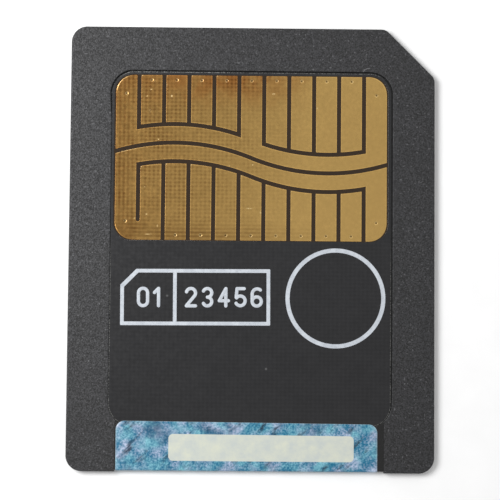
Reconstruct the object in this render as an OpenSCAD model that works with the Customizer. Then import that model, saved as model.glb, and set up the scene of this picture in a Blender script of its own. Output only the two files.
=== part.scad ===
// Thin flash memory card with a cut corner, lying with its contact side up.
// Millimetres. The origin is on the label side, under the centre of the card's outline.
// +X is to the right, +Y towards the leading edge with the contacts, +Z up through the contact side.

/* [Card body] */
// Width of the card
card_w = 37; // [35:0.5:40]
// Length of the card, leading edge to trailing edge
card_l = 45; // [44:0.5:52]
// Thickness of the card
card_t = 0.76; // [0.74:0.01:0.9]
// Radius of the three square corners
corner_r = 1.6; // [0.8:0.1:2.5]
// Leg of the corner that is cut off at 45 degrees
corner_cut = 5; // [3.5:0.1:5.5]
// Radius at each end of that cut
cut_end_r = 1; // [0.4:0.1:2]

/* [Module board] */
// Width of the board
board_w = 28.4; // [27:0.1:30]
// Length of the board
board_l = 35.8; // [34:0.1:37]
// Radius of the board's corners
board_r = 2.2; // [1.2:0.1:3]
// Thickness of the board
board_t = 0.2; // [0.16:0.01:0.22]
// How far the board's face lies below the card's face
board_sink = 0.06; // [0.05:0.005:0.08]
// Distance of the module from the card's centre line, to the left
board_left = 0.1; // [0:0.05:0.5]
// Card body left between the leading edge and the pocket
front_border = 4.42; // [3.8:0.02:4.8]

/* [Pocket for the module] */
// Clearance between the board and the pocket's wall, all round
pocket_gap = 0.16; // [0.08:0.01:0.24]
// Width of the ledge that the board is bonded to
ledge_w = 1.2; // [0.8:0.05:1.6]
// Thickness of the bonding tape on the ledge
tape_t = 0.04; // [0.02:0.005:0.05]
// Distance from the board's edge to the tape
tape_inset = 0.1; // [0.05:0.05:0.3]
// Thickness of the card's floor under the module
floor_t = 0.11; // [0.08:0.01:0.12]

/* [Contacts] */
// Distance from one column of contacts to the next
contact_pitch = 2.54; // [2.4:0.02:2.58]
// Width of the etched gap between two columns
contact_gap = 0.36; // [0.2:0.02:0.6]
// Length of the contact field, front row to rear row
contact_l = 16.78; // [16:0.02:18]
// Radius of the contact field's corners
contact_r = 1.8; // [0.8:0.1:2]
// Thickness of the plated foil
contact_t = 0.025; // [0.015:0.005:0.035]
// Board left in front of the contact field
contact_front = 0.35; // [0.2:0.01:0.8]
// Width of the three curved gaps
wave_gap = 0.38; // [0.2:0.02:0.5]
// Distance from one curved gap to the next
band_pitch = 1.9; // [1.4:0.05:2.2]
// Height of a curved gap's crest above its trough
wave_rise = 2.99; // [2:0.05:3.4]
// Distance from crest to trough along the card's width
wave_span = 15.4; // [13:0.1:17]
// Foil that joins the first two rear columns, below the end of the gap between them
link_l = 1.85; // [1.2:0.05:2.4]

/* [Through-holes] */
// Diameter of a plated through-hole
via_d = 0.37; // [0.25:0.01:0.45]
// Distance from the field's edge to a through-hole's centre
via_inset = 0.5; // [0.35:0.01:0.8]
// The same for the four columns' ends at the field's corners
corner_via_inset = 1.88; // [1.5:0.02:2.2]
// Depth of the dimple that a through-hole leaves in the contact
dimple_depth = 0.01; // [0.004:0.002:0.014]

/* [Chip under the board] */
// Width of the chip
chip_w = 16; // [12:0.5:18]
// Length of the chip
chip_l = 10.6; // [9:0.2:11.6]
// Thickness of the chip
chip_t = 0.15; // [0.1:0.01:0.18]
// Thickness of the film that bonds the chip to the board
film_t = 0.02; // [0.01:0.005:0.03]
// Thickness of the inner tracks
track_t = 0.018; // [0.012:0.002:0.03]
// Width of the inner tracks
track_w = 0.16; // [0.1:0.02:0.2]
// Copper left round a through-hole on the inner side
land_rim = 0.1; // [0.06:0.01:0.14]
// Diameter of a bond wire
wire_d = 0.03; // [0.02:0.005:0.04]
// Distance from the chip's edge to the bond wires' ends on it
bond_inset = 0.3; // [0.2:0.05:0.6]
// Clearance between the resin cover and the well's walls
resin_gap = 0.2; // [0.1:0.02:0.4]
// Clearance between the resin cover and the card's floor
resin_lift = 0.02; // [0.01:0.005:0.03]

/* [Printed marks] */
// Thickness of the printed ink
ink_t = 0.012; // [0.008:0.002:0.02]
// Board left between the contact field and the printed box
box_front = 2.93; // [2:0.01:4]
// Board left between its side edge and the printed box
box_side = 1.08; // [0.6:0.01:1.8]
// Width of the printed box
box_w = 15.12; // [13:0.01:16]
// Length of the printed box
box_l = 5.68; // [4:0.01:7]
// Leg of the box's cut corner
box_cut = 1.6; // [1:0.05:2.2]
// Distance from the box's cut side to its divider
box_divider = 5.5; // [4.6:0.01:7]
// Radius at the box's outer corners
box_r = 0.1; // [0.06:0.02:0.3]
// Width of the box's lines
box_line = 0.37; // [0.2:0.01:0.5]
// Slant of the printed box against the board, in degrees
box_slant = 0.3; // [0:0.05:0.6]
// Outer diameter of the printed ring
ring_d = 10.1; // [8:0.05:10.8]
// Width of the ring's line
ring_line = 0.42; // [0.2:0.01:0.6]
// Board left between its side edge and the printed ring
ring_side = 0.56; // [0.3:0.01:1.2]

/* [Label] */
// Width of the label sticker
label_w = 26.27; // [24:0.01:27]
// Clearance from the label's left edge to the recess
label_left_gap = 0.13; // [0.05:0.01:0.4]
// Clearance from the label's right edge to the recess
label_right_gap = 0.66; // [0.1:0.02:1]
// Length of the label on the contact side
label_front = 4.97; // [4.5:0.01:5.3]
// Length of the label on the label side
label_back = 36; // [30:0.5:37]
// Clearance in front of the label on the label side
label_end_gap = 0.3; // [0.1:0.05:1]
// Length of the recess on the contact side
recess_front = 5.4; // [5:0.05:6]
// Radius of the label's corners
label_r = 0.87; // [0.3:0.01:2]
// Thickness of the label sticker
label_t = 0.05; // [0.03:0.005:0.055]
// Slant of the label's front edge, in degrees
label_slant = 0.44; // [0:0.02:0.8]
// Depth of the recess on the label side
back_recess = 0.06; // [0.056:0.002:0.08]
// How far the trailing edge is set back under the label
edge_recess = 0.15; // [0.06:0.01:0.3]
// Inner radius of the label's folds
fold_r = 0.12; // [0.05:0.01:0.2]

/* [Hidden] */
$fn = 64;
// Overshoot of a cut past the face that it opens
past = 1;
// Steps in the round of one blended corner
blend_steps = 6;
// Longest straight step along a curved gap
wave_step = 0.7;
columns = 11;
middle_column = (columns + 1) / 2;
// The front row has a pad in each column but the first, the middle and the last, which belong to the upper band
FRONT_GROUPS = [[2, middle_column - 1], [middle_column + 1, columns - 1]];
FRONT_PADS = [for (group = FRONT_GROUPS) for (k = [group[0]:group[1]]) k];
// The rear row has a pad in each column but the first two and the last, which belong to the lower band
REAR_PADS = [for (k = [3:columns - 1]) k];

pad_w = contact_pitch - contact_gap;
field_w = columns * contact_pitch - contact_gap;
// Each curved gap is two equal arcs that meet midway between crest and trough
wave_r = (wave_span * wave_span + wave_rise * wave_rise) / (4 * wave_rise);

pocket_w = board_w + 2 * pocket_gap;
pocket_l = board_l + 2 * pocket_gap;
pocket_r = board_r + pocket_gap;
well_w = pocket_w - 2 * ledge_w;
well_l = pocket_l - 2 * ledge_w;
well_r = max(0.3, pocket_r - ledge_w);
resin_w = well_w - 2 * resin_gap;
resin_l = well_l - 2 * resin_gap;
resin_r = max(0.1, well_r - resin_gap);

module_x = -board_left;
module_y = card_l / 2 - front_border - pocket_l / 2;
board_front_y = module_y + board_l / 2;
field_y = board_front_y - contact_front - contact_l / 2;

board_top = card_t - board_sink;
board_bottom = board_top - board_t;
ledge_z = board_bottom - tape_t;
floor_z = back_recess + floor_t;
resin_bottom = floor_z + resin_lift;
track_bottom = board_bottom - track_t;
chip_top = board_bottom - film_t;
chip_bottom = chip_top - chip_t;

// Bond fingers lie halfway between the chip's edge and the rows of through-holes
via_row = contact_l / 2 - via_inset;
finger_row = (chip_l / 2 + via_row) / 2;
finger_l = 0.25 * (via_row - chip_l / 2);
finger_w = 1.4 * track_w;
finger_pitch = (chip_w - 4 * bond_inset) / (columns - 1);
// A bond wire sags to the middle of the resin under the chip
wire_low = (chip_bottom + resin_bottom) / 2;

label_left = module_x - (label_left_gap + label_w + label_right_gap) / 2 + label_left_gap;
label_x = label_left + label_w / 2;
recess_left = label_left - label_left_gap;
recess_w = label_left_gap + label_w + label_right_gap;
fold_y = -card_l / 2 + edge_recess;
label_edge_y = fold_y - label_t;
label_front_y = -card_l / 2 + label_front;
label_back_y = -card_l / 2 + label_back;
middle_z = card_t / 2;

marks_y = field_y - contact_l / 2 - box_front - box_l / 2;
box_left = module_x - board_w / 2 + box_side;
ring_x = module_x + board_w / 2 - ring_side - ring_d / 2;

// A rectangle about the origin with four equal round corners
module rounded_rect(w, l, r) {
    square([w - 2 * r, l], center = true);
    square([w, l - 2 * r], center = true);
    for (x = [-1, 1], y = [-1, 1])
        translate([x * (w / 2 - r), y * (l / 2 - r)])
            circle(r);
}

// Points of the arc of radius r that rounds the convex corner p between its neighbours a and b, anticlockwise
function blend(a, p, b, r) =
    let (u = (a - p) / norm(a - p))
    let (v = (b - p) / norm(b - p))
    let (half = acos(u * v) / 2)
    let (centre = p + (u + v) / norm(u + v) * r / sin(half))
    let (start = p + u * r / tan(half) - centre)
    [
        for (i = [0:blend_steps])
            let (turn = (180 - 2 * half) * i / blend_steps)
            centre + [start.x * cos(turn) - start.y * sin(turn), start.x * sin(turn) + start.y * cos(turn)]
    ];

// The card's outline: three round corners and one cut corner with blended ends
module card_outline() {
    x = card_w / 2;
    y = card_l / 2;
    low = [x, y - corner_cut];
    high = [x - corner_cut, y];
    difference() {
        rounded_rect(card_w, card_l, corner_r);
        polygon(concat(
            blend([x, 0], low, high, cut_end_r),
            blend(low, high, [0, y], cut_end_r),
            [[blend(low, high, [0, y], cut_end_r)[blend_steps].x, y + past]],
            [[x + past, y + past]],
            [[x + past, blend([x, 0], low, high, cut_end_r)[0].y]]
        ));
    }
}

// Everything in the card's rear part that the folded label goes round: the solid between the label's leaves
module label_core(grow) {
    r = fold_r + grow;
    low = back_recess - grow;
    high = board_top + grow;
    near = fold_y - grow;
    length = card_l;
    translate([-card_w, 0, 0])
        rotate([90, 0, 90])
            linear_extrude(2 * card_w) {
                translate([near + r, low])
                    square([length, high - low]);
                translate([near, low + r])
                    square([length, high - low - 2 * r]);
                for (z = [low + r, high - r])
                    translate([near + r, z])
                        circle(r);
            }
}

// The hollow that takes the label: a shallow step on both sides and a set-back trailing edge
module label_recess() {
    rear = -card_l / 2 - past;
    difference() {
        union() {
            translate([recess_left, rear, middle_z])
                cube([recess_w, recess_front + past, card_t]);
            translate([recess_left, rear, middle_z - card_t])
                cube([recess_w, label_back + label_end_gap + past, card_t]);
        }
        label_core(0);
    }
}

module base_card() {
    color("#454548")
        difference() {
            linear_extrude(card_t)
                card_outline();
            translate([module_x, module_y, ledge_z])
                linear_extrude(card_t)
                    rounded_rect(pocket_w, pocket_l, pocket_r);
            translate([module_x, module_y, floor_z])
                linear_extrude(card_t)
                    rounded_rect(well_w, well_l, well_r);
            label_recess();
        }
}

// Double-sided tape ring between the ledge and the board's rim, pressed round the tracks that run into it
module bonding_tape() {
    color("#b08a4a")
        difference() {
            translate([module_x, module_y, ledge_z])
                linear_extrude(tape_t)
                    difference() {
                        rounded_rect(board_w - 2 * tape_inset, board_l - 2 * tape_inset, board_r - tape_inset);
                        rounded_rect(well_w, well_l, well_r);
                    }
            inner_tracks();
        }
}

// Sides of a column: its left and right edges from the contact field's centre line
function column_x(k) = (k - middle_column) * contact_pitch;
function pad_left(k) = column_x(k) - pad_w / 2;
function pad_right(k) = column_x(k) + pad_w / 2;

// Height of the middle gap's edge, off above its centre line, at a place x across the field
function wave_y(x, off) =
    x < 0
    ? wave_rise / 2 - wave_r + sqrt(pow(wave_r + off, 2) - pow(x + wave_span / 2, 2))
    : wave_r - wave_rise / 2 - sqrt(pow(wave_r - off, 2) - pow(x - wave_span / 2, 2));

// Points along that edge from x0 to x1, raised by lift
function wave_line(x0, x1, lift, off) =
    let (steps = ceil(abs(x1 - x0) / wave_step))
    [for (i = [0:steps]) let (x = x0 + (x1 - x0) * i / steps) [x, wave_y(x, off) + lift]];

// A through-hole's place in the contact field; row is 1 in front and -1 in the rear
function via_place(k, row) =
    let (inset = k == 1 || k == columns ? corner_via_inset : via_inset)
    [column_x(k), row * (contact_l / 2 - inset)];

// Column and row of every through-hole: the rear row's second column has none, as it is tied to the first
VIAS = concat([for (k = [1:columns]) [k, 1]], [for (k = [1:columns]) if (k != 2) [k, -1]]);

module at_field(z) {
    translate([module_x, field_y, z])
        children();
}

// The shallow cap of a large ball that dents the foil over a through-hole
module dimple(k, row) {
    ball_r = (pow(via_d / 2, 2) + pow(dimple_depth, 2)) / (2 * dimple_depth);
    translate([via_place(k, row).x, via_place(k, row).y, contact_t + ball_r - dimple_depth])
        sphere(ball_r);
}

// A contact cut from the foil: its outline is the child, and it has a dimple in each listed column
module contact(row, dimples) {
    color("#b3924f")
        at_field(board_top)
            difference() {
                linear_extrude(contact_t)
                    children();
                for (k = dimples)
                    dimple(k, row);
            }
}

module front_contact(k) {
    top = contact_l / 2;
    contact(1, [k])
        polygon(concat(
            wave_line(pad_left(k), pad_right(k), band_pitch, wave_gap / 2),
            [[pad_right(k), top], [pad_left(k), top]]
        ));
}

module rear_contact(k) {
    bottom = -contact_l / 2;
    contact(-1, [k])
        polygon(concat(
            wave_line(pad_left(k), pad_right(k), -band_pitch, -wave_gap / 2),
            [[pad_right(k), bottom], [pad_left(k), bottom]]
        ));
}

// The part of the contact field on one side of a curved gap's edge: row is 1 above it and -1 below it
module beyond_wave(x0, x1, lift, off, row) {
    far = row * (contact_l / 2 + past);
    polygon(concat(wave_line(x0, x1, lift, off), [[x1, far], [x0, far]]));
}

module upper_band_contact() {
    side = field_w / 2 + past;
    contact(1, [1, middle_column, columns])
        intersection() {
            rounded_rect(field_w, contact_l, contact_r);
            difference() {
                beyond_wave(-side, side, 0, wave_gap / 2, 1);
                for (group = FRONT_GROUPS)
                    beyond_wave(
                        pad_left(group[0]) - contact_gap, pad_right(group[1]) + contact_gap,
                        band_pitch, -wave_gap / 2, 1
                    );
            }
        }
}

// The gap that parts the first two rear columns, round at the end where the foil joins them
module link_gap() {
    x = (pad_right(1) + pad_left(2)) / 2;
    end_y = -contact_l / 2 + link_l + contact_gap / 2;
    translate([pad_right(1), end_y])
        square([contact_gap, wave_y(x, 0) - band_pitch - end_y]);
    translate([x, end_y])
        circle(contact_gap / 2);
    polygon(concat(
        wave_line(pad_right(1), pad_left(3), -band_pitch, wave_gap / 2),
        wave_line(pad_left(3), pad_right(1), -band_pitch, -wave_gap / 2)
    ));
}

module lower_band_contact() {
    side = field_w / 2 + past;
    contact(-1, [1, columns])
        intersection() {
            rounded_rect(field_w, contact_l, contact_r);
            difference() {
                beyond_wave(-side, side, 0, -wave_gap / 2, -1);
                beyond_wave(pad_right(2), pad_left(columns), -band_pitch, wave_gap / 2, -1);
                link_gap();
            }
        }
}

module module_board() {
    color("#38383a")
        difference() {
            translate([module_x, module_y, board_bottom])
                linear_extrude(board_t)
                    rounded_rect(board_w, board_l, board_r);
            at_field(board_bottom - past)
                for (via = VIAS)
                    translate(via_place(via[0], via[1]))
                        cylinder(d = via_d, h = board_t + 2 * past);
        }
}

module plated_vias() {
    color("#b87333")
        at_field(board_bottom)
            for (via = VIAS)
                translate(via_place(via[0], via[1]))
                    cylinder(d = via_d, h = board_t);
}

// A bond finger's place in the contact field
function finger_place(k, row) = [(k - middle_column) * finger_pitch, row * finger_row];

// One inner track: a land round the through-hole, a straight run and a bond finger
module track_outline(k, row) {
    from = via_place(k, row);
    to = finger_place(k, row) + [0, row * finger_l / 3];
    along = (to - from) / norm(to - from);
    across = [-along.y, along.x] * track_w / 2;
    translate(from)
        circle(via_d / 2 + land_rim);
    polygon([from - across, to - across, to + across, from + across]);
    translate(finger_place(k, row))
        square([finger_w, finger_l], center = true);
}

module inner_tracks() {
    color("#c77b3b")
        at_field(track_bottom)
            for (via = VIAS)
                linear_extrude(track_t)
                    track_outline(via[0], via[1]);
}

// The chip and its film lie under the middle of the contact field
module chip_block(z, t) {
    translate([module_x - chip_w / 2, field_y - chip_l / 2, z])
        cube([chip_w, chip_l, t]);
}

module die_attach_film() {
    color("#d8c36a")
        chip_block(chip_top, film_t);
}

module memory_chip() {
    color("#6f7680")
        chip_block(chip_bottom, chip_t);
}

// Side view of a bond wire: from the chip's face down, out over its edge and up to the finger
module wire_profile() {
    inner = chip_l / 2 - bond_inset;
    outer = finger_row;
    polygon([
        [inner, chip_bottom], [inner + wire_d, chip_bottom], [inner + 2 * wire_d, wire_low + wire_d],
        [chip_l / 2 + bond_inset / 2, wire_low + wire_d], [outer, track_bottom], [outer + 2 * wire_d, track_bottom],
        [chip_l / 2 + bond_inset / 2, wire_low], [inner + wire_d, wire_low]
    ]);
}

module bond_wires() {
    color("#e0b040")
        translate([module_x, field_y, 0])
            for (via = VIAS)
                translate([finger_place(via[0], via[1]).x, 0, 0])
                    rotate([90, 0, 90])
                        translate([0, 0, -wire_d / 2])
                            linear_extrude(wire_d)
                                mirror([via[1] < 0 ? 1 : 0, 0])
                                    wire_profile();
}

module resin_cover() {
    color("#202022")
        difference() {
            translate([module_x, module_y, resin_bottom])
                linear_extrude(board_bottom - resin_bottom)
                    rounded_rect(resin_w, resin_l, resin_r);
            memory_chip();
            die_attach_film();
            inner_tracks();
            bond_wires();
        }
}

// Outline of the printed box, inset from its outer edge, with one cut corner
module box_outline(inset) {
    w = box_w - inset;
    top = box_l / 2 - inset;
    cut = box_cut - inset * tan(22.5);
    r = max(0.05, box_r - inset);
    a = [inset, -top];
    b = [w, -top];
    c = [w, top];
    d = [inset + cut, top];
    e = [inset, top - cut];
    polygon(concat(
        blend(e, a, b, r), blend(a, b, c, r), blend(b, c, d, r), blend(c, d, e, r), blend(d, e, a, r)
    ));
}

module printed_box() {
    color("#ccd2de")
        translate([box_left + box_w / 2, marks_y, board_top])
            rotate([0, 0, box_slant])
                translate([-box_w / 2, 0, 0])
                    linear_extrude(ink_t) {
                        difference() {
                            box_outline(0);
                            box_outline(box_line);
                        }
                        translate([box_divider - box_line / 2, -box_l / 2 + box_line / 2])
                            square([box_line, box_l - box_line]);
                    }
}

module printed_ring() {
    color("#ccd2de")
        translate([ring_x, marks_y, board_top])
            difference() {
                cylinder(d = ring_d, h = ink_t);
                translate([0, 0, -past])
                    cylinder(d = ring_d - 2 * ring_line, h = ink_t + 2 * past);
            }
}

// A leaf of the label as seen from above: two round corners at its far end, which slopes by drop from left to right
module label_leaf(end_y, drop) {
    left = -label_w / 2;
    right = label_w / 2;
    rear = -card_l / 2 - past;
    a = [left, rear];
    b = [right, rear];
    c = [right, end_y - drop / 2];
    d = [left, end_y + drop / 2];
    translate([label_x, 0])
        polygon(concat([a, b], blend(b, c, d, label_r), blend(c, d, a, label_r)));
}

module label_sticker() {
    color("#8fb3c6")
        intersection() {
            difference() {
                label_core(label_t);
                label_core(0);
            }
            union() {
                translate([0, 0, middle_z])
                    linear_extrude(card_t)
                        label_leaf(label_front_y, label_w * tan(label_slant));
                translate([0, 0, middle_z - card_t])
                    linear_extrude(card_t)
                        label_leaf(label_back_y, 0);
            }
        }
}

base_card();
bonding_tape();
module_board();
plated_vias();
inner_tracks();
die_attach_film();
memory_chip();
bond_wires();
resin_cover();
upper_band_contact();
lower_band_contact();
for (k = FRONT_PADS)
    front_contact(k);
for (k = REAR_PADS)
    rear_contact(k);
printed_box();
printed_ring();
label_sticker();
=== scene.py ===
"""Thin flash memory card with a cut corner, lying with its gold contacts up.

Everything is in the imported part's frame: the origin is on the label side under the card's centre, +X to the
right, +Y towards the leading edge, +Z up. Sizes below are millimetres, and make_piece turns them into metres.
"""

import math
from functools import partial

import bmesh
import bpy
import numpy as np
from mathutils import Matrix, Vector


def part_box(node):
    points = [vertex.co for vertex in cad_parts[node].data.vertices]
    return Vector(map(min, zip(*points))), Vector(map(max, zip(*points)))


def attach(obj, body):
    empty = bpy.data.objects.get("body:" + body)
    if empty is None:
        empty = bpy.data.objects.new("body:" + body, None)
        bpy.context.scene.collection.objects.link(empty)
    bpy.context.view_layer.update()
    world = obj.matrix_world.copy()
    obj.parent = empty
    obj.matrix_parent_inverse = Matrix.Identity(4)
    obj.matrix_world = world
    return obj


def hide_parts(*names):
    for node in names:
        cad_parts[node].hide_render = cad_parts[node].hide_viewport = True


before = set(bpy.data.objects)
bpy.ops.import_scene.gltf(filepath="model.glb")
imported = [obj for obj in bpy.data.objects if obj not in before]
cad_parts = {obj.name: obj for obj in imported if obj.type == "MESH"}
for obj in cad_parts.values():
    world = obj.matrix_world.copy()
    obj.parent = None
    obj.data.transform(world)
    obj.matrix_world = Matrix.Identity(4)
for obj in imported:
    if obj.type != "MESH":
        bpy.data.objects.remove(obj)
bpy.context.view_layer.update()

MM = 0.001


def corners(node_name):
    """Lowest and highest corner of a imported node, in millimetres."""
    low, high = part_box(node_name)
    return np.array(low) / MM, np.array(high) / MM


card_high = corners("base_card")[1]
board_low, board_high = corners("module_board")
label_low, label_high = corners("label_sticker")
upper_high = corners("upper_band_contact")[1]
lower_low, lower_high = corners("lower_band_contact")

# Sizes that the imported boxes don't give
CARD_ROUND, CUT_LEG, CUT_ROUND, BODY_EDGE = 1.6, 5.0, 1.0, 0.09
POCKET_GAP, POCKET_RIM, LEDGE_W, LEDGE_Z, FLOOR_Z = 0.16, 0.03, 1.2, 0.46, 0.17
BOARD_ROUND, BOARD_EDGE = 2.2, 0.045
RECESS_LEFT_GAP, RECESS_RIGHT_GAP, RECESS_BACK_Y, EDGE_SET_BACK = 0.13, 0.66, 13.8, 0.15
LABEL_T, FOLD_R, LABEL_ROUND, LABEL_SLANT, LABEL_FRONT = 0.05, 0.12, 0.87, 0.44, 4.97
# In the photo each pad ends 0.06 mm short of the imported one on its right, and each gap is that much wider
SHORT_RIGHT = 0.06
PITCH, GAP, WAVE_GAP, BAND_PITCH = 2.54, 0.36 + SHORT_RIGHT, 0.42, 1.9
WAVE_RISE, WAVE_SPAN, FIELD_ROUND, LINK = 2.99, 15.4, 1.8, 1.85
VIA_D, VIA_INSET, CORNER_VIA_INSET, DIMPLE = 0.37, 0.5, 1.88, 0.013
COLUMNS = 11

FIELD_X = (lower_low[0] + lower_high[0] - SHORT_RIGHT) / 2
FIELD_Y = (upper_high[1] + lower_low[1]) / 2
FIELD_HALF_W = (lower_high[0] - lower_low[0] - SHORT_RIGHT) / 2
FIELD_HALF_L = (upper_high[1] - lower_low[1]) / 2
FOIL_T = lower_high[2] - lower_low[2]
BOARD_TOP = board_high[2]
PAD_W = PITCH - GAP
WAVE_R = (WAVE_SPAN**2 + WAVE_RISE**2) / (4 * WAVE_RISE)


# Meshes
def grid_quads(rows, cols, close_rows=False, close_cols=False):
    """Quads between the neighbouring points of a grid, joined round where a direction is closed."""
    shape = (rows if close_rows else rows - 1, cols if close_cols else cols - 1)
    i, j = np.indices(shape).reshape(2, -1)
    next_i, next_j = (i + 1) % rows, (j + 1) % cols
    return np.stack([i * cols + j, next_i * cols + j, next_i * cols + next_j, i * cols + next_j], axis=1)


def make_piece(name, points, quads, finish, slot=None, stands_for=(), sheet_map=None, marks=None, crease=50):
    """A shown piece from whole arrays of points (mm) and quads, with closed seams and its faces outwards."""
    mesh = bpy.data.meshes.new(name)
    mesh.vertices.add(len(points))
    mesh.vertices.foreach_set("co", (points * MM).astype(np.float32).ravel())
    mesh.loops.add(quads.size)
    mesh.loops.foreach_set("vertex_index", quads.ravel().astype(np.int32))
    mesh.polygons.add(len(quads))
    mesh.polygons.foreach_set("loop_start", np.arange(0, quads.size, 4, dtype=np.int32))
    mesh.update(calc_edges=True)
    for mark, values in (marks or {}).items():
        layer = mesh.attributes.new(mark, "FLOAT", "POINT")
        layer.data.foreach_set("value", values.astype(np.float32).ravel())
    if sheet_map is not None:
        layer = mesh.uv_layers.new(name="sheet")
        layer.data.foreach_set("uv", sheet_map[quads.ravel()].astype(np.float32).ravel())
    shell = bmesh.new()
    shell.from_mesh(mesh)
    bmesh.ops.remove_doubles(shell, verts=shell.verts, dist=1e-7)
    bmesh.ops.dissolve_degenerate(shell, dist=1e-8, edges=shell.edges)
    bmesh.ops.recalc_face_normals(shell, faces=shell.faces)
    shell.to_mesh(mesh)
    shell.free()
    mesh.polygons.foreach_set("use_smooth", np.ones(len(mesh.polygons), dtype=bool))
    mesh.set_sharp_from_angle(angle=math.radians(crease))
    made = bpy.data.objects.new(name, mesh)
    bpy.context.scene.collection.objects.link(made)
    mesh.materials.append(finish)
    if slot:
        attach(made, "root")
    if stands_for:
        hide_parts(*stands_for)
    return made


def along(parts, count):
    """Evenly spaced places on a chain of lines (start, end) and arcs (centre, radius, from, to in degrees).

    Each row is x, y and the unit normal: the travel direction turned right on a line, the spoke on an arc.
    """
    step = np.linspace(0, 1, 200)[:, None]
    chain = []
    for part in parts:
        if len(part) == 2:
            start, run = np.array(part[0]), np.subtract(part[1], part[0])
            normal = np.repeat([[run[1], -run[0]] / np.hypot(*run)], len(step), axis=0)
            chain.append(np.hstack([start + run * step, normal]))
        else:
            centre, radius, first, last = part
            angle = np.radians(first + (last - first) * step)
            spoke = np.hstack([np.cos(angle), np.sin(angle)])
            chain.append(np.hstack([np.array(centre) + radius * spoke, spoke]))
    chain = np.vstack(chain)
    length = np.r_[0, np.cumsum(np.hypot(*np.diff(chain[:, :2], axis=0).T))]
    where = np.linspace(0, length[-1], count)
    return np.stack([np.interp(where, length, column) for column in chain.T], axis=1)


def carried(stations, profile):
    """Points of a profile carried along a path: place plus normal times the profile's offset, at its height.

    The profile is (station, point, 2), offset outwards and height; a single profile serves every station.
    """
    profile = np.broadcast_to(profile, (len(stations),) + np.shape(profile)[-2:])
    flat = stations[:, None, :2] + stations[:, None, 2:] * profile[..., :1]
    return np.concatenate([flat, profile[..., 1:]], axis=2)


def to_pole(count, x, y, z):
    """A column of points that all lie on one pole, to close a fan of faces."""
    return np.tile([[[x, y, z]]], (count, 1, 1))


# Materials
def srgb(hex_code):
    """Linear colour of an sRGB hex code: each channel to the 2.4, with the straight foot near black."""
    channels = np.array([int(hex_code[i : i + 2], 16) for i in (1, 3, 5)]) / 255
    linear = np.where(channels <= 0.04045, channels / 12.92, ((channels + 0.055) / 1.055) ** 2.4)
    return (*linear, 1.0)


def per_mm(size):
    """Texture scale at which one feature measures size millimetres in coordinates that are in metres."""
    return 1 / (size * MM)


def add_node(tree, kind, feeds=None, give=0, **settings):
    """Adds one node: settings are its properties, feeds its inputs, each a value or the socket linked to it.

    Its answer is the node's output that give names.
    """
    node = tree.nodes.new("ShaderNode" + kind)
    for name, value in settings.items():
        setattr(node, name, value)
    for name, value in (feeds or {}).items():
        if isinstance(value, bpy.types.NodeSocket):
            tree.links.new(value, node.inputs[name])
        else:
            node.inputs[name].default_value = value
    return node.outputs[give] if node.outputs else None


def new_finish(name):
    """A new material with an empty tree, and add, which adds a node to that tree."""
    material = bpy.data.materials.new(name)
    material.use_nodes = True
    material.node_tree.nodes.clear()
    return material, partial(add_node, material.node_tree)


# A Mix node that mixes colours has its factor and its two colours at these inputs, and gives output 2
MIX, FROM, TO, COLOURS = 0, 6, 7, {"give": 2, "data_type": "RGBA"}
LOW, HIGH, TO_LOW, TO_HIGH = "From Min", "From Max", "To Min", "To Max"
# The glass cloth in the board has a thread every 0.434 mm across and every 0.39 mm along. A wave texture's
# bands are pi / 10 / scale apart, so the scale is this turn over the thread spacing.
WEFT_STEP, WARP_STEP, WAVE_TURN = 0.434, 0.39, math.pi / 10


def glass_cloth(add, feeds):
    """The weft and the warp of the board's glass cloth: a wave across the threads of each."""
    for way, step in (("X", WEFT_STEP), ("Y", WARP_STEP)):
        yield add("TexWave", feeds | {"Scale": WAVE_TURN * per_mm(step)}, "Fac", bands_direction=way)


def inside_rounded(add, place, centre, half, radius):
    """1 within a rounded rectangle, else 0: the distance past its inner box, against its corner radius."""
    off = add("VectorMath", {0: place, 1: (*centre, 0)}, operation="SUBTRACT")
    flat = add("VectorMath", {0: off, 1: (1, 1, 0)}, operation="MULTIPLY")
    size = add("VectorMath", {0: flat}, operation="ABSOLUTE")
    inner = (half[0] - radius, half[1] - radius, 0)
    past = add("VectorMath", {0: size, 1: inner}, operation="SUBTRACT")
    kept = add("VectorMath", {0: past, 1: (0, 0, 0)}, operation="MAXIMUM")
    reach = add("VectorMath", {0: kept}, "Value", operation="LENGTH")
    return add("Math", {0: reach, 1: radius}, operation="LESS_THAN")


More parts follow.
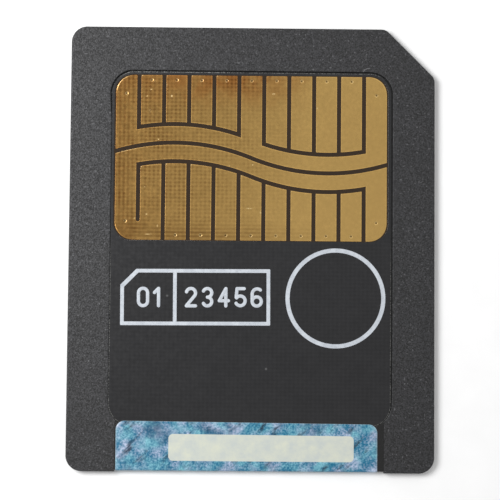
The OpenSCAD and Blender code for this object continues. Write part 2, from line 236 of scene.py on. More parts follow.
def moulded_abs():
    """ABS moulded against a spark-eroded tool: matt, with dark grains, painted glints and pale rubbed edges.

    The real pits are 0.05 to 0.1 mm wide, and they are drawn at 0.14 mm, because finer ones don't show.
    """
    material, add = new_finish("spark_textured_abs")
    place = add("TexCoord", give="Object")
    pits = add("TexNoise", {"Vector": place, "Scale": per_mm(0.14), "Detail": 1.5, "Roughness": 0.7})
    specks = add("TexNoise", {"Vector": place, "Scale": per_mm(0.2), "Detail": 0.0})
    cloud = add("TexNoise", {"Vector": place, "Scale": per_mm(2.2), "Detail": 3.0})
    pepper = add("MapRange", {"Value": pits, LOW: 0.4, HIGH: 0.62})
    # The pale specks are painted glints on the grain's facets
    glint = add("MapRange", {"Value": specks, LOW: 0.69, HIGH: 0.84, TO_HIGH: 0.55})
    shade = add("MapRange", {"Value": cloud, LOW: 0.35, HIGH: 0.65, TO_HIGH: 0.3})
    worn = add("Attribute", give="Fac", attribute_name="edge")
    rubbed = add("MapRange", {"Value": worn, TO_HIGH: 0.04})
    # A hairline scratch leaves the pocket's upper right corner: an arc of 0.77 mm radius, cut off by a box
    middle = (11.84 * MM, 17.7 * MM, card_high[2] * MM)
    aside = add("VectorMath", {0: place, 1: middle}, "Value", operation="DISTANCE")
    past = add("Math", {0: aside, 1: 0.77 * MM}, operation="SUBTRACT")
    off = add("Math", {0: past}, operation="ABSOLUTE")
    hairline = add("MapRange", {"Value": off, LOW: 0.015 * MM, HIGH: 0.04 * MM, TO_LOW: 0.5, TO_HIGH: 0.0})
    near_it = inside_rounded(add, place, (11.44 * MM, 18.37 * MM), (0.45 * MM, 0.26 * MM), 0.05 * MM)
    scratch = add("Math", {0: hairline, 1: near_it}, operation="MULTIPLY")
    # The tool was polished where it shaped the recesses, so they come out smooth; their near black is painted
    # shade
    smooth_shaded_recess = add("Attribute", give="Fac", attribute_name="recess")
    colour = srgb("#000001")
    for share, tone in (
        (pepper, "#2f2f32"), (glint, "#717174"), (shade, "#131315"), (rubbed, "#4a4a4c"),
        (scratch, "#8f8f92"), (smooth_shaded_recess, "#0a0a0a"),
    ):
        colour = add("Mix", {MIX: share, FROM: colour, TO: srgb(tone)}, **COLOURS)
    matt = add("MapRange", {"Value": pits, LOW: 0.36, HIGH: 0.64, TO_LOW: 0.68, TO_HIGH: 0.42})
    gloss = add("MapRange", {"Value": smooth_shaded_recess, TO_LOW: matt, TO_HIGH: 0.3})
    bumps = add("Bump", {"Height": pits, "Distance": 0.032 * MM, "Strength": 1.0})
    surface = add("BsdfPrincipled", {"Base Color": colour, "Roughness": gloss, "Normal": bumps, "IOR": 1.54})
    add("OutputMaterial", {"Surface": surface})
    return material


# The bare laminate reaches this far past the foil's sides and ends, and its corners are this much rounder
BARE_SIDE, BARE_END, BARE_ROUND = 0.16, 0.07, 0.08


def resist_board():
    """Black solder resist curtain-coated on glass epoxy: smooth and satin.

    Round the foil the brown laminate is bare. Where the router cut through, pale ends of glass show in the
    dark edge.
    """
    material, add = new_finish("black_solder_resist")
    place = add("TexCoord", give="Object")
    flow = add("TexNoise", {"Vector": place, "Scale": per_mm(1.6), "Detail": 2.0})
    weft, warp = glass_cloth(add, {"Vector": place})
    cloth = add("Math", {0: weft, 1: warp}, operation="ADD")
    flowing = add("Math", {0: cloth, 1: 0.3, 2: flow}, operation="MULTIPLY_ADD")
    toned = add("MapRange", {"Value": flowing, LOW: 0.45, HIGH: 1.15})
    film = add("Mix", {MIX: toned, FROM: srgb("#19191b"), TO: srgb("#212123")}, **COLOURS)
    threads = add("TexNoise", {"Vector": place, "Scale": per_mm(0.12), "Detail": 2.0})
    thready = add("MapRange", {"Value": threads, LOW: 0.3, HIGH: 0.7})
    epoxy = add("Mix", {MIX: thready, FROM: srgb("#24170a"), TO: srgb("#2f200d")}, **COLOURS)
    half = ((FIELD_HALF_W + BARE_SIDE) * MM, (FIELD_HALF_L + BARE_END) * MM)
    bare = inside_rounded(add, place, (FIELD_X * MM, FIELD_Y * MM), half, (FIELD_ROUND + BARE_ROUND) * MM)
    face = add("Mix", {MIX: bare, FROM: film, TO: epoxy}, **COLOURS)
    # Grains of dust some 0.15 mm across, one in every few cells of 4 mm
    cells = add("TexVoronoi", {"Vector": place, "Scale": per_mm(4.0)}, "Distance")
    dust = add("MapRange", {"Value": cells, LOW: 0.015, HIGH: 0.04, TO_LOW: 0.3, TO_HIGH: 0.0})
    dusty = add("Mix", {MIX: dust, FROM: face, TO: srgb("#8d8d8d")}, **COLOURS)
    glass = add("TexNoise", {"Vector": place, "Scale": per_mm(0.09), "Detail": 1.0})
    # The router bit tore the glass along the leading edge and the rear half, and hardly down the upper sides
    x, y = [add("SeparateXYZ", {0: place}, axis) for axis in "XY"]
    torn_front = add("MapRange", {"Value": y, LOW: 17.2 * MM, HIGH: 17.8 * MM, TO_LOW: 0.0})
    torn_rear = add("MapRange", {"Value": y, LOW: -4 * MM, HIGH: 1 * MM, TO_LOW: 0.6, TO_HIGH: 0.0})
    less = add("MapRange", {"Value": x, LOW: -3.2 * MM, HIGH: -1 * MM, TO_LOW: 1.0, TO_HIGH: 0.55})
    torn_front = add("Math", {0: torn_front, 1: less}, operation="MULTIPLY")
    torn = add("Math", {0: torn_front, 1: torn_rear}, operation="MAXIMUM")
    ends = add("MapRange", {"Value": glass, LOW: 0.4, HIGH: 0.64, TO_HIGH: torn})
    routed = add("Mix", {MIX: ends, FROM: srgb("#161616"), TO: srgb("#a3a39f")}, **COLOURS)
    cut = add("Attribute", give="Fac", attribute_name="edge")
    by_edge = add("MapRange", {"Value": cut, LOW: 0.55})
    colour = add("Mix", {MIX: by_edge, FROM: dusty, TO: routed}, **COLOURS)
    peel = add("TexNoise", {"Vector": place, "Scale": per_mm(0.4), "Detail": 2.0})
    level = add("Math", {0: peel, 1: bare}, operation="SUBTRACT")
    relief = add("Bump", {"Height": level, "Distance": 0.003 * MM, "Strength": 1.0})
    satin = add("MapRange", {"Value": peel, LOW: 0.3, HIGH: 0.7, TO_LOW: 0.22, TO_HIGH: 0.3})
    gloss = add("Math", {0: bare, 1: -0.12, 2: satin}, operation="MULTIPLY_ADD")
    gloss = add("Math", {0: by_edge, 1: 0.4, 2: gloss}, operation="MULTIPLY_ADD")
    surface = add("BsdfPrincipled", {"Base Color": colour, "Roughness": gloss, "Normal": relief, "IOR": 1.5})
    add("OutputMaterial", {"Surface": surface})
    return material


def gold_plate():
    """Rolled copper foil plated with nickel and hard gold: a satin metal with the glass cloth's print in it.

    The print is strong where the plating is thin: on the left, in the front row and at the rear ends.
    """
    material, add = new_finish("hard_gold_plate")
    place = add("TexCoord", give="Object")
    wavering = {"Vector": place, "Distortion": 0.6, "Detail": 1.0, "Detail Scale": 0.4}
    weft, warp = glass_cloth(add, wavering)
    cloth = add("Math", {0: weft, 1: warp}, operation="ADD")
    x, y = [add("SeparateXYZ", {0: place}, axis) for axis in "XY"]
    # The first column shows the threads along it most, the rear ends of the next ones the threads across them
    by_side = add("MapRange", {"Value": x, LOW: -12.7 * MM, HIGH: -11.8 * MM, TO_LOW: 0.5, TO_HIGH: 0.0})
    by_rear = add("MapRange", {"Value": y, LOW: 2.0 * MM, HIGH: 3.2 * MM, TO_LOW: 0.9, TO_HIGH: 0.0})
    less_weft = add("Math", {0: weft, 1: by_rear}, operation="MULTIPLY")
    less_warp = add("Math", {0: warp, 1: by_side}, operation="MULTIPLY")
    uneven = add("Math", {0: cloth, 1: less_weft}, operation="SUBTRACT")
    uneven = add("Math", {0: uneven, 1: less_warp}, operation="SUBTRACT")
    hollow = add("MapRange", {"Value": uneven, LOW: 1.4, HIGH: 0.2})
    # Painted shade, and thin plating for the print: a slope over the whole field, darker to the left and the
    # front, broken by clouds some 4 mm wide
    slope = add("VectorMath", {0: place, 1: (1, -0.12, 0)}, "Value", operation="DOT_PRODUCT")
    cloud = add("TexNoise", {"Vector": place, "Scale": per_mm(4.0), "Detail": 3.0})
    drift = add("Math", {0: cloud, 1: 6 * MM, 2: slope}, operation="MULTIPLY_ADD")
    shade_and_thin_plating = add("MapRange", {"Value": drift, LOW: -14 * MM, HIGH: 8 * MM, TO_LOW: 1.0, TO_HIGH: 0.0})
    # Along the front row of the middle columns a painted reflection gives an orange cast
    front = add("MapRange", {"Value": y, LOW: 13.8 * MM, HIGH: 17.3 * MM})
    inward = add("MapRange", {"Value": x, LOW: -12.5 * MM, HIGH: -5.5 * MM, TO_LOW: 0.3})
    outward = add("MapRange", {"Value": x, LOW: 0.5 * MM, HIGH: 7.0 * MM, TO_LOW: 1.0, TO_HIGH: 0.0})
    middle = add("Math", {0: inward, 1: outward}, operation="MULTIPLY")
    worn = add("Math", {0: front, 1: middle}, operation="MULTIPLY")
    patches = add("TexNoise", {"Vector": place, "Scale": per_mm(1.3), "Detail": 3.0})
    ragged = add("MapRange", {"Value": patches, LOW: 0.38, HIGH: 0.6, TO_LOW: 0.35, TO_HIGH: 0.9})
    # The patch of the painted orange reflection, which also strengthens the cloth's print
    copper = add("Math", {0: worn, 1: ragged}, operation="MULTIPLY")
    # The rear ends of the columns are rubbed as well, less and less towards the right
    rear = add("MapRange", {"Value": y, LOW: 1.6 * MM, HIGH: 3.4 * MM, TO_LOW: 0.72, TO_HIGH: 0.0})
    rear_left = add("MapRange", {"Value": x, LOW: -5 * MM, HIGH: 9 * MM, TO_LOW: 1.0, TO_HIGH: 0.0})
    off_side = add("MapRange", {"Value": x, LOW: -12 * MM, HIGH: -9.5 * MM})
    rubbed = add("Math", {0: rear, 1: rear_left}, operation="MULTIPLY")
    rubbed = add("Math", {0: rubbed, 1: off_side}, operation="MULTIPLY")
    bared = add("Math", {0: copper, 1: rubbed}, operation="MAXIMUM")
    print_through = add("Math", {0: shade_and_thin_plating, 1: bared}, operation="MAXIMUM")
    fading = add("TexNoise", {"Vector": place, "Scale": per_mm(1.7), "Detail": 2.0})
    faded = add("MapRange", {"Value": fading, LOW: 0.35, HIGH: 0.65, TO_LOW: 0.25, TO_HIGH: 0.8})
    faded = add("Math", {0: faded, 1: rubbed}, operation="MAXIMUM")
    faded = add("Math", {0: faded, 1: by_side}, operation="MAXIMUM")
    hollows = add("Math", {0: hollow, 1: faded}, operation="MULTIPLY")
    dark = add("Math", {0: hollows, 1: print_through}, operation="MULTIPLY")
    # Darker towards the front
    front_darkening = add("MapRange", {"Value": y, LOW: 2 * MM, HIGH: 17 * MM, TO_HIGH: 0.13})
    # The orange cast is a painted reflection
    orange_reflection = add("MapRange", {"Value": copper, TO_HIGH: 0.85})
    pit = add("Attribute", give="Fac", attribute_name="pit")
    # Painted shade darkens the middles of the dimples, and keeps the nickel off them
    dimple_shade = add("MapRange", {"Value": pit, LOW: 0.5, HIGH: 0.8, TO_HIGH: 0.6})
    # Nicks are rubbed through the gold to the pale nickel; the same pale is a painted highlight round the
    # rims of the dimples, and on the corners and lips that the nick mark holds
    dimple_highlight = add("MapRange", {"Value": pit, LOW: 0.05, HIGH: 0.25, TO_HIGH: 0.6})
    nicked = add("Attribute", give="Fac", attribute_name="nick")
    through = add("Math", {0: nicked, 1: dimple_highlight}, operation="MAXIMUM")
    crumbling = add("TexNoise", {"Vector": place, "Scale": per_mm(0.1), "Detail": 2.0})
    broken = add("MapRange", {"Value": crumbling, LOW: 0.42, HIGH: 0.58, TO_LOW: 0.05, TO_HIGH: 0.85})
    nickel = add("MapRange", {"Value": through, LOW: 0.1, HIGH: 0.7, TO_HIGH: broken})
    nickel = add("Math", {0: nickel, 1: dimple_shade}, operation="SUBTRACT", use_clamp=True)
    # Thick gold, then painted shade, darker towards the front, the painted orange reflection, the cloth's
    # print, painted shade in the dimples, and nickel with painted highlights over it
    colour = srgb("#e2b96f")
    for share, tone in (
        (shade_and_thin_plating, "#a78048"), (front_darkening, "#5a4420"), (orange_reflection, "#ac6a33"), (dark, "#6a3f1c"), (dimple_shade, "#3a2813"),
        (nickel, "#e9cf98"),
    ):
        colour = add("Mix", {MIX: share, FROM: colour, TO: srgb(tone)}, **COLOURS)
    # The face is burnished, but rough where the etching bath reached it, which gives each pad a pale rim
    rub = add("TexNoise", {"Vector": place, "Scale": per_mm(0.3), "Detail": 3.0})
    satin = add("MapRange", {"Value": rub, LOW: 0.3, HIGH: 0.7, TO_LOW: 0.18, TO_HIGH: 0.26})
    etched = add("Attribute", give="Fac", attribute_name="edge")
    rough = add("Math", {0: etched, 1: nickel}, operation="MAXIMUM")
    gloss = add("Math", {0: rough, 1: 0.2, 2: satin}, operation="MULTIPLY_ADD")
    swell = add("Math", {0: cloth, 1: print_through}, operation="MULTIPLY")
    relief = add("Bump", {"Height": swell, "Distance": 0.0012 * MM, "Strength": 1.0})
    surface = add("BsdfPrincipled", {
        "Base Color": colour, "Metallic": 1.0, "Roughness": gloss, "Normal": relief,
    })
    add("OutputMaterial", {"Surface": surface})
    return material


def screen_ink():
    """White epoxy ink pressed through a screen: dense, matt and faintly bluish, with the mesh's print."""
    material, add = new_finish("screen_printed_ink")
    place = add("TexCoord", give="Object")
    cloud = add("TexNoise", {"Vector": place, "Scale": per_mm(0.5), "Detail": 2.0})
    cover = add("MapRange", {"Value": cloud, LOW: 0.3, HIGH: 0.7})
    body = add("Mix", {MIX: cover, FROM: srgb("#b4bac2"), TO: srgb("#c6ccd3")}, **COLOURS)
    pores = add("TexNoise", {"Vector": place, "Scale": per_mm(0.11), "Detail": 1.0})
    open_pores = add("MapRange", {"Value": pores, LOW: 0.6, HIGH: 0.75, TO_HIGH: 0.5})
    colour = add("Mix", {MIX: open_pores, FROM: body, TO: srgb("#7d828a")}, **COLOURS)
    relief = add("Bump", {"Height": pores, "Distance": 0.003 * MM, "Strength": 1.0})
    surface = add("BsdfPrincipled", {"Base Color": colour, "Roughness": 0.55, "Normal": relief, "IOR": 1.5})
    add("OutputMaterial", {"Surface": surface})
    return material


# The label's blank panels on the contact side and on the label side: centre, half size and corner radius
FRONT_PANEL, BACK_PANEL = ((1.1, 2.55), (9.3, 1.32), 0.45), ((-0.4, 26.0), (10.6, 9.5), 0.9)


def printed_film():
    """Polypropylene label film, offset-printed and varnished: an icy blue mottle with blank pale panels.

    The die-cut rim shows the film's own white. The sheet map is in millimetres, across and from the front.
    """
    material, add = new_finish("printed_polypropylene_film")
    sheet = add("UVMap", uv_map="sheet")
    # Streaks 0.8 mm wide and three times as long, turned to run up to the right on the contact side
    laid = {"Vector": sheet, "Rotation": (0, 0, math.radians(45)), "Scale": (0.8, 2.4, 1)}
    turned = add("Mapping", laid, vector_type="TEXTURE")
    streaks = add("TexNoise", {"Vector": turned, "Scale": 1.0, "Detail": 4.0, "Roughness": 0.65})
    patches = add("TexNoise", {"Vector": sheet, "Scale": 1 / 1.5, "Detail": 6.0, "Roughness": 0.68})
    crumbs = add("TexNoise", {"Vector": sheet, "Scale": 1 / 0.2, "Detail": 2.0, "Roughness": 0.7})
    frost = add("Math", {0: crumbs, 1: 0.65, 2: patches}, operation="MULTIPLY_ADD")
    frosted = add("MapRange", {"Value": frost, LOW: 0.7, HIGH: 1.04})
    hues = add("TexNoise", {"Vector": sheet, "Scale": 1 / 1.8, "Detail": 2.0})
    tinted = add("MapRange", {"Value": hues, LOW: 0.42, HIGH: 0.6})
    pale = add("Mix", {MIX: tinted, FROM: srgb("#86c3d0"), TO: srgb("#b9c4dd")}, **COLOURS)
    ice = add("Mix", {MIX: frosted, FROM: srgb("#0a6688"), TO: pale}, **COLOURS)
    depths = add("TexNoise", {"Vector": sheet, "Scale": 1 / 4, "Detail": 5.0, "Roughness": 0.6})
    deep = add("MapRange", {"Value": depths, LOW: 0.52, HIGH: 0.66, TO_HIGH: 0.75})
    deepened = add("Mix", {MIX: deep, FROM: ice, TO: srgb("#123e60")}, **COLOURS)
    crack = add("MapRange", {"Value": streaks, LOW: 0.55, HIGH: 0.7, TO_HIGH: 0.92})
    artless = add("Mix", {MIX: crack, FROM: deepened, TO: srgb("#12263a")}, **COLOURS)
    front = inside_rounded(add, sheet, *FRONT_PANEL)
    back = inside_rounded(add, sheet, *BACK_PANEL)
    on_panel = add("Math", {0: front, 1: back}, operation="MAXIMUM")
    stained = add("MapRange", {"Value": patches, LOW: 0.35, HIGH: 0.65})
    panel = add("Mix", {MIX: stained, FROM: srgb("#bec5c2"), TO: srgb("#d0d3c3")}, **COLOURS)
    printed = add("Mix", {MIX: on_panel, FROM: artless, TO: panel}, **COLOURS)
    rim = add("Attribute", give="Fac", attribute_name="rim")
    bare = add("MapRange", {"Value": rim, LOW: 0.5, TO_HIGH: 0.6})
    colour = add("Mix", {MIX: bare, FROM: printed, TO: srgb("#bcc0be")}, **COLOURS)
    gloss = add("MapRange", {"Value": crumbs, LOW: 0.3, HIGH: 0.7, TO_LOW: 0.28, TO_HIGH: 0.4})
    relief = add("Bump", {"Height": crumbs, "Distance": 0.002 * MM, "Strength": 1.0})
    surface = add("BsdfPrincipled", {"Base Color": colour, "Roughness": gloss, "Normal": relief, "IOR": 1.49})
    add("OutputMaterial", {"Surface": surface})
    return material


def inner_finish(name, first, second, size, depth, metallic, roughness):
    """A hidden piece's finish: two tones of its material in a grain of its real size, with its relief."""
    material, add = new_finish(name)
    place = add("TexCoord", give="Object")
    cloud = add("TexNoise", {"Vector": place, "Scale": per_mm(size), "Detail": 3.0})
    share = add("MapRange", {"Value": cloud, LOW: 0.3, HIGH: 0.7})
    colour = add("Mix", {MIX: share, FROM: srgb(first), TO: srgb(second)}, **COLOURS)
    relief = add("Bump", {"Height": cloud, "Distance": depth * MM, "Strength": 1.0})
    surface = add("BsdfPrincipled", {
        "Base Color": colour, "Metallic": metallic, "Roughness": roughness, "Normal": relief,
    })
    add("OutputMaterial", {"Surface": surface})
    return material


def pale_table():
    """Painted board: the plain pale ground, with the faint orange peel of a roller some 3 mm across."""
    material, add = new_finish("white_painted_board")
    place = add("TexCoord", give="Object")
    peel = add("TexNoise", {"Vector": place, "Scale": per_mm(3.0), "Detail": 2.0})
    share = add("MapRange", {"Value": peel, LOW: 0.3, HIGH: 0.7})
    colour = add("Mix", {MIX: share, FROM: srgb("#fafafa"), TO: srgb("#fdfdfd")}, **COLOURS)
    relief = add("Bump", {"Height": peel, "Distance": 0.005 * MM, "Strength": 1.0})
    surface = add("BsdfPrincipled", {"Base Color": colour, "Roughness": 0.8, "Normal": relief})
    add("OutputMaterial", {"Surface": surface})
    return material


# Card body

# A quarter circle in seven points: how far each lies in from the side and down from the top, in radii
QUARTER = np.radians(np.linspace(0, 90, 7))
IN, DOWN = 1 - np.sin(QUARTER), 1 - np.cos(QUARTER)
# The lines that keep the face flat lie this far from the pocket's rim and from the rounding of the outer edge
RIM_LINE, EDGE_LINE = 0.12, 0.2
# Down the left side and round the rear corners the pocket's wall closes this share of its gap
WALL_CLOSES = 0.92


def card_body(finish):
    """The moulded body: each station of the outline carries one profile.

    The profile runs from the well's floor up over the pocket's rim, across the face, round the outer edge by
    quarter circles, and across the underside to the label's recess.
    """
    x, y = card_high[:2]
    inset = CARD_ROUND
    slant = CUT_ROUND * math.tan(math.radians(22.5))
    bevel = CUT_ROUND * (1 - 0.5**0.5)
    cut_x, cut_y = x - CUT_LEG - slant, y - CUT_LEG - slant
    turn = BOARD_ROUND + POCKET_GAP
    left, low = board_low[:2] - POCKET_GAP + turn
    right, high = board_high[:2] + POCKET_GAP - turn
    recess_left, recess_right = label_low[0] - RECESS_LEFT_GAP, label_high[0] + RECESS_RIGHT_GAP
    cut = math.degrees(math.acos((recess_right - right) / turn))
    outer = [
        [((recess_left, -y), (recess_right, -y))],
        [((recess_right, -y), (x - inset, -y)), ((x - inset, inset - y), inset, -90, 0)],
        [((x, inset - y), (x, cut_y))],
        [((x - CUT_ROUND, cut_y), CUT_ROUND, 0, 45),
         ((x - bevel, cut_y + CUT_ROUND - bevel), (cut_x + CUT_ROUND - bevel, y - bevel)),
         ((cut_x, y - CUT_ROUND), CUT_ROUND, 45, 90)],
        [((cut_x, y), (inset - x, y))],
        [((inset - x, y - inset), inset, 90, 180)],
        [((-x, y - inset), (-x, inset - y))],
        [((inset - x, inset - y), inset, 180, 270), ((inset - x, -y), (recess_left, -y))],
    ]
    inner = [
        [((left, low), turn, 180 + cut, 270), ((left, low - turn), (right, low - turn)),
         ((right, low), turn, -90, -cut)],
        [((right, low), turn, -cut, 0)],
        [((right + turn, low), (right + turn, high))],
        [((right, high), turn, 0, 90)],
        [((right, high + turn), (left, high + turn))],
        [((left, high), turn, 90, 180)],
        [((left - turn, high), (left - turn, low))],
        [((left, low), turn, 180, 180 + cut)],
    ]
    recess = [
        (recess_left, BODY_EDGE - y), (recess_right, BODY_EDGE - y), (recess_right, low),
        (recess_right, RECESS_BACK_Y), (right, RECESS_BACK_Y), (left, RECESS_BACK_Y),
        (recess_left, RECESS_BACK_Y), (recess_left, low),
    ]
    under = [[line] for line in zip(recess, recess[1:] + recess[:1])]
    counts = (121, 41, 12, 49, 12, 33, 12, 41)
    outside, inside, below = [
        np.vstack([along(part, n) for part, n in zip(way, counts)]) for way in (outer, inner, under)
    ]
    count = len(outside)
    recessed = np.arange(count) < counts[0]
    outside[recessed, 0] = inside[recessed, 0]
    # The wall closes in on the board down the left side and round the rear corners, where hardly a gap shows
    down_left = np.clip((15.5 - inside[:, 1]) / 2, 0, 1) * np.clip(-1.5 * inside[:, 2], 0, 1)
    at_rear = np.clip((-14.5 - inside[:, 1]) / 3, 0, 1)
    inside[:, :2] -= inside[:, 2:] * WALL_CLOSES * POCKET_GAP * np.maximum(down_left, at_rear)[:, None]
    label_z = label_low[2] + LABEL_T
    top = np.where(recessed, BOARD_TOP, card_high[2])[:, None]
    bottom = np.where(recessed, label_z, 0.0)[:, None]
    back = np.where(recessed, EDGE_SET_BACK, 0.0)[:, None]
    turn_r = np.where(recessed, FOLD_R, BODY_EDGE)[:, None]

    def stacked(offset, height):
        return np.stack(np.broadcast_arrays(offset, height), axis=2)

    one = np.ones((count, 1))
    well = stacked(-LEDGE_W * one * [1, 1], one * [FLOOR_Z, LEDGE_Z])
    wall = stacked(0 * one, LEDGE_Z * one)
    pocket_rim = stacked(POCKET_RIM * IN[::-2] * one, top - POCKET_RIM * DOWN[::-2])
    by_rim = stacked((POCKET_RIM + RIM_LINE) * one, top)
    by_edge = stacked(-(back + turn_r + EDGE_LINE), top)
    top_edge = stacked(-(back + turn_r * IN), top - turn_r * DOWN)
    low_edge = stacked(-(back + turn_r * DOWN), bottom + turn_r * IN)
    near = carried(inside, np.concatenate([well, wall, pocket_rim, by_rim], axis=1))
    far = carried(outside, np.concatenate([by_edge, top_edge, low_edge], axis=1))
    step = np.stack([np.column_stack([below[:, :2], np.full(count, z)]) for z in (0.0, label_z)], axis=1)
    step[recessed] = far[recessed, -1:]
    floor, underside = [to_pole(count, FIELD_X, (low + high) / 2, z) for z in (FLOOR_Z, label_z)]
    points = np.concatenate([floor, near, far, step, underside], axis=1)
    # Along the profile lie 4 points of the well and the wall, 4 of the pocket's rim, 2 of the face, 14 of the
    # outer edge and 3 of the underside, 2 of them in the recess. The label's recess is smooth throughout, and
    # the well and the recesses are painted near black as shade.
    wear = np.repeat([0, 0.6, 0, 1.0, 0], [4, 4, 2, 14, 3]) * ~recessed[:, None]
    smooth = np.maximum(np.repeat([1.0, 0, 1.0], [4, 21, 2]), recessed[:, None])
    return make_piece(
        "card_body", points.reshape(-1, 3), grid_quads(*points.shape[:2], close_rows=True), finish,
        "body_plastic", ["base_card"], marks={"edge": wear, "recess": smooth}, crease=40,
    )


# Module board

# The router leaves the cut edge uneven by this much, in two waves with so many turns round the board
CHATTER, CHATTER_TURNS, SWELL_TURNS = 0.006, 137, 59
# The line that keeps the board's face flat lies this far inside its rounded edge
BOARD_LINE = 0.03


def board_plate(finish):
    """The routed board: its outline carries a profile from the face round a small edge to the underside."""
    turn = BOARD_ROUND
    left, low = board_low[:2] + turn
    right, high = board_high[:2] - turn
    outline = [
        ((left, low - turn), (right, low - turn)), ((right, low), turn, -90, 0),
        ((right + turn, low), (right + turn, high)), ((right, high), turn, 0, 90),
        ((right, high + turn), (left, high + turn)), ((left, high), turn, 90, 180),
        ((left - turn, high), (left - turn, low)), ((left, low), turn, 180, 270),
    ]
    stations = along(outline, 900)[:-1]
    count = len(stations)
    way = np.linspace(0, 2 * np.pi, count, endpoint=False)
    chatter = CHATTER * (1 - np.cos(CHATTER_TURNS * way) * np.cos(SWELL_TURNS * way + 1))[:, None]
    top, bottom = board_high[2], board_low[2]
    offset = BOARD_EDGE * np.concatenate([[1], IN, DOWN, [1]])
    offset[[0, -1]] += BOARD_LINE
    height = np.concatenate([[top], top - BOARD_EDGE * DOWN, bottom + BOARD_EDGE * IN, [bottom]])
    body = carried(stations, np.stack(np.broadcast_arrays(-offset - chatter, height), axis=2))
    face, underside = [to_pole(count, (left + right) / 2, (low + high) / 2, z) for z in (top, bottom)]
    points = np.concatenate([face, body, underside], axis=1)
    cut = np.zeros(points.shape[:2])
    cut[:, 2:-2] = 1.0
    return make_piece(
        "routed_board", points.reshape(-1, 3), grid_quads(*points.shape[:2], close_rows=True), finish,
        "solder_resist", ["module_board"], marks={"edge": cut}, crease=40,
    )


# Contacts

# The etched and plated edge of a contact rolls down over this width, which grows round the field's corners
ROLL, CORNER_ROLL = 0.01, 0.1
EDGE_LINES = np.array([0, 0.007, 0.015, 0.028, 0.062, CORNER_ROLL])
# Longest steps of the contact grid, and how far its fine lines reach round a through-hole
FINE, COARSE, COARSER, VIA_REACH = 0.037, 0.085, 0.09, 0.22


def wave_y(x, off):
    """Height of the middle gap's edge, off above its centre line: two equal arcs that meet midway."""
    hill = WAVE_RISE / 2 - WAVE_R + np.sqrt((WAVE_R + off) ** 2 - (x + WAVE_SPAN / 2) ** 2)
    dale = WAVE_R - WAVE_RISE / 2 - np.sqrt((WAVE_R - off) ** 2 - (x - WAVE_SPAN / 2) ** 2)
    return np.where(x < 0, hill, dale)


def over_wave(x, y):
    """Distance above the middle gap's centre line: from the hill's arc on the left, else the dale's."""
    hill = np.hypot(x + WAVE_SPAN / 2, y - WAVE_RISE / 2 + WAVE_R) - WAVE_R
    dale = WAVE_R - np.hypot(x - WAVE_SPAN / 2, y + WAVE_RISE / 2 - WAVE_R)
    return np.where(x < 0, hill, dale)


def pad_middle(k):
    """Centre line of column k, from the field's."""
    return (k - (COLUMNS + 1) / 2) * PITCH


def pad_left(k):
    """Left edge of column k."""
    return pad_middle(k) - PAD_W / 2


def pad_right(k):
    """Right edge of column k."""
    return pad_left(k) + PAD_W


def foil_margin(x, y):
    """Distance from a point of the foil to the nearest etched edge.

    It is the least of its distances to the field's rounded outline, to the three curved gaps and to the
    straight gaps between the columns.
    """
    wide, long = np.abs(x) - FIELD_HALF_W + FIELD_ROUND, np.abs(y) - FIELD_HALF_L + FIELD_ROUND
    outside = np.hypot(np.maximum(wide, 0), np.maximum(long, 0)) + np.minimum(np.maximum(wide, long), 0)
    margin = FIELD_ROUND - outside
    mid = over_wave(x, y)
    margin = np.minimum(margin, np.abs(mid) - WAVE_GAP / 2)
    high, low = over_wave(x, y - BAND_PITCH), over_wave(x, y + BAND_PITCH)
    for first, last in ((2, 5), (7, 10)):
        ends = np.maximum(pad_left(first) - GAP - x, x - pad_right(last) - GAP)
        margin = np.minimum(margin, np.maximum(np.abs(high) - WAVE_GAP / 2, ends))
    ends = np.maximum(pad_right(1) - x, x - pad_left(COLUMNS))
    margin = np.minimum(margin, np.maximum(np.abs(low) - WAVE_GAP / 2, ends))
    slot_end = LINK + GAP / 2 - FIELD_HALF_L
    for k in range(1, COLUMNS):
        aside = np.abs(x - pad_right(k) - GAP / 2)
        margin = np.minimum(margin, np.maximum(aside - GAP / 2, -high - WAVE_GAP / 2))
        # The gap between the first two columns ends in a half circle, and the others reach the field's end
        slot = np.where(y > slot_end, aside, np.hypot(aside, y - slot_end)) if k == 1 else aside
        margin = np.minimum(margin, np.maximum(slot - GAP / 2, low - WAVE_GAP / 2))
    return margin


def via_places():
    """Centres of the through-holes, one in each column and row but the rear row's second."""
    places = []
    for k, row in [(k, row) for row in (1, -1) for k in range(1, COLUMNS + 1) if (k, row) != (2, -1)]:
        inset = CORNER_VIA_INSET if k in (1, COLUMNS) else VIA_INSET
        places.append((pad_middle(k), row * (FIELD_HALF_L - inset)))
    return places


# Nicks pressed into the foil in handling: place on the card, reach along x and y, and depth
NICKS = np.array([
    [-10.35, 16.1, 0.10, 0.08, 0.006], [-9.95, 16.95, 0.18, 0.14, 0.002], [-8.25, 15.45, 0.08, 0.13, 0.006],
    [-10.75, 15.4, 0.10, 0.08, 0.004], [-10.45, 13.9, 0.14, 0.30, 0.002], [-8.8, 16.6, 0.08, 0.24, 0.003],
    [-0.3, 4.05, 0.38, 0.05, 0.007], [2.1, 15.75, 0.16, 0.08, 0.006], [6.55, 14.3, 0.09, 0.12, 0.006],
    [-2.35, 8.4, 0.07, 0.08, 0.007], [0.0, 8.5, 0.07, 0.08, 0.007], [0.85, 3.65, 0.08, 0.16, 0.005],
    [-9.6, 11.0, 0.10, 0.06, 0.006], [-10.7, 3.35, 0.12, 0.07, 0.006], [-9.6, 2.2, 0.07, 0.10, 0.006],
    [-10.9, 6.1, 0.06, 0.06, 0.005], [-8.85, 4.0, 0.05, 0.12, 0.005], [-11.9, 2.95, 0.08, 0.09, 0.005],
    [-10.5, 1.35, 0.40, 0.05, 0.004],
])
# A nick this deep goes right through the gold, and shallower ones show the nickel less
THROUGH_GOLD = 0.006


